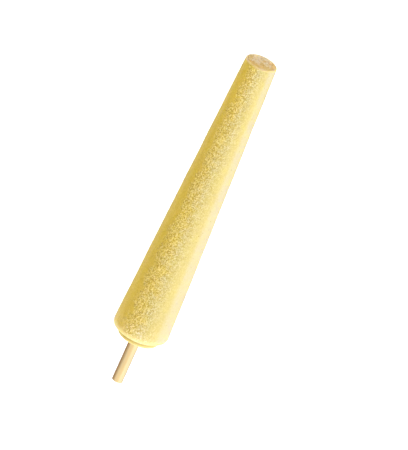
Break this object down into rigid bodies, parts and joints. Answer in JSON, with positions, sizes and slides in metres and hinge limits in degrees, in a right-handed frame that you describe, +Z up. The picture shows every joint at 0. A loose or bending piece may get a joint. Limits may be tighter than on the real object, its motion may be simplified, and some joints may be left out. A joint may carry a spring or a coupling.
{
  "type": "ice lolly",
  "caption": "Long tapered milk ice with a layer of chopped nuts in its flat tip, frozen onto a round stick and lying on its side.",
  "frame": {"origin": "middle of the footprint, on the surface that the lolly lies on", "axes": "+X along the lolly towards its narrow nut tip, the stick points along -X, +Y to the side, +Z up; the lolly lies on its side with its underside level"},
  "size_m": [0.1833, 0.0282, 0.0279],
  "materials": {
    "milk_ice": "frosted yellow milk ice, finely pitted, semi-matt",
    "chopped_nuts": "tan chopped nuts frozen into ice, rough",
    "stick_wood": "pale round stick with fine straight grain, satin"
  },
  "bodies": {
    "root": {"ice": "milk_ice", "nut_layer": "chopped_nuts", "stick": "stick_wood"}
  },
  "joints": []
}
